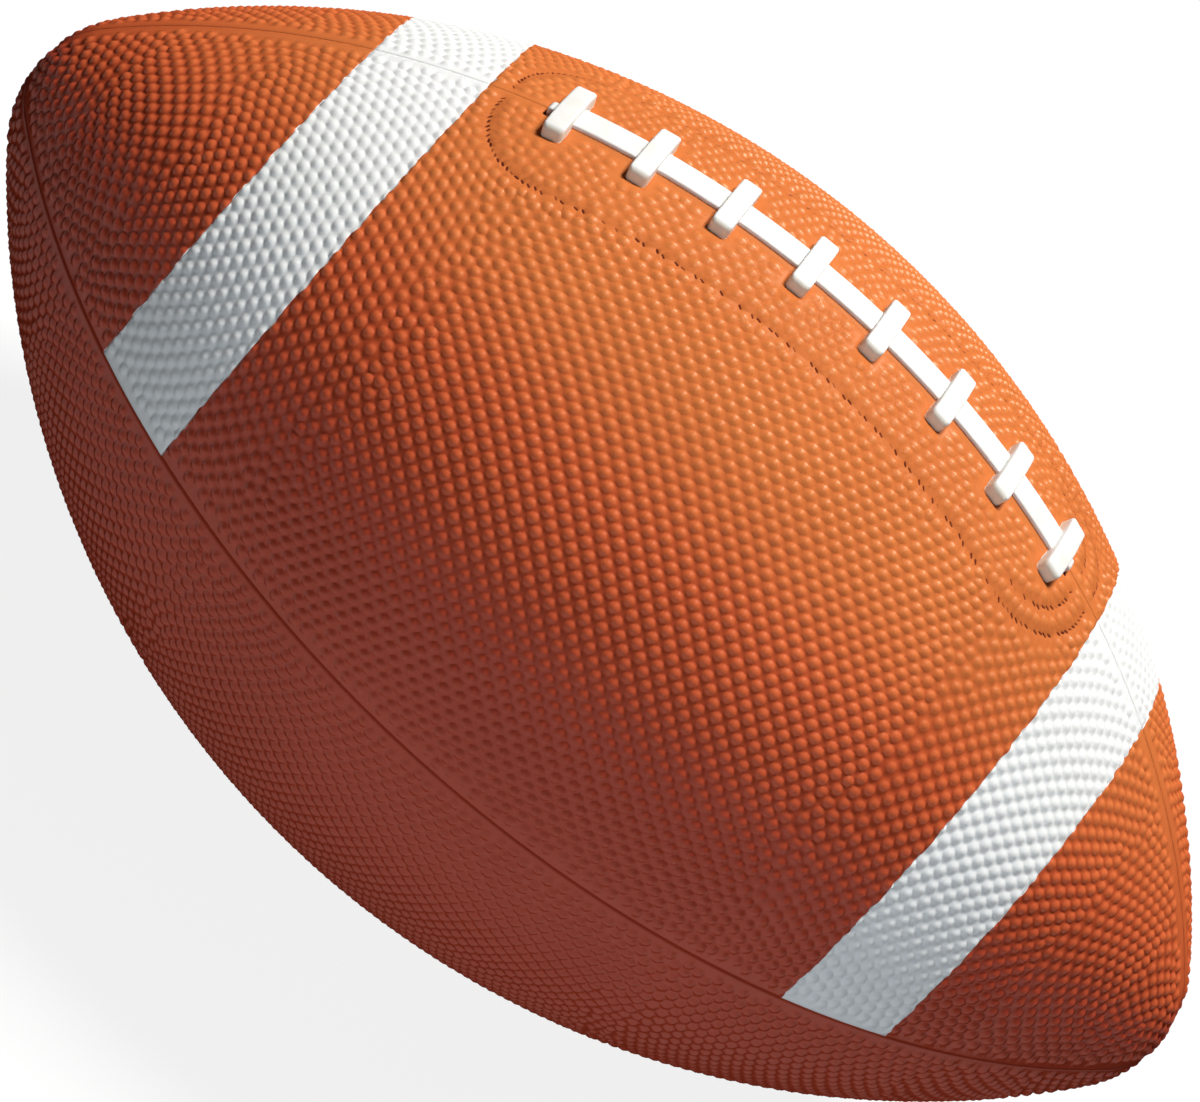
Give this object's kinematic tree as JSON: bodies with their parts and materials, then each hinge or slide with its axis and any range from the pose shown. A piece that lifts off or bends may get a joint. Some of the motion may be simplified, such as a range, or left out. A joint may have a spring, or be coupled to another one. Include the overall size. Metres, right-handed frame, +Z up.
{
  "type": "american football",
  "caption": "Pointed oval ball of pebbled moulded rubber in panels, with raised white laces along the top seam, white half stripes and a push-in valve.",
  "frame": {"origin": "middle of the ball: half way along it, on its long axis", "axes": "+X along the ball's long axis, +Z up through the laces, -Y towards the front seam"},
  "size_m": [0.293, 0.1658, 0.1682],
  "materials": {
    "cover_rubber": "satin",
    "stripe_rubber": "satin",
    "lace_plastic": "matte",
    "carcass_rubber": "matte",
    "winding_thread": "matte",
    "bladder_rubber": "satin",
    "valve_rubber": "satin",
    "plug_rubber": "matte"
  },
  "bodies": {
    "ball": {"bladder": "bladder_rubber", "carcass": "carcass_rubber", "lace_backing": "carcass_rubber", "lace_loop_1": "lace_plastic", "lace_loop_2": "lace_plastic", "lace_loop_3": "lace_plastic", "lace_loop_4": "lace_plastic", "lace_loop_5": "lace_plastic", "lace_loop_6": "lace_plastic", "lace_loop_7": "lace_plastic", "lace_loop_8": "lace_plastic", "lace_spine": "lace_plastic", "nylon_winding": "winding_thread", "panel_bottom_front": "cover_rubber", "panel_bottom_rear": "cover_rubber", "panel_top_front": "cover_rubber", "panel_top_rear": "cover_rubber", "stripe_front_left": "stripe_rubber", "stripe_front_right": "stripe_rubber", "stripe_rear_left": "stripe_rubber", "stripe_rear_right": "stripe_rubber", "valve_housing": "valve_rubber"},
    "valve": {"valve_plug": "plug_rubber"}
  },
  "joints": [
    {"name": "valve_plug_pull", "type": "slide", "parent": "ball", "child": "valve", "axis": [0, 0.7071, -0.7071], "range_m": [0, 0.018]}
  ]
}
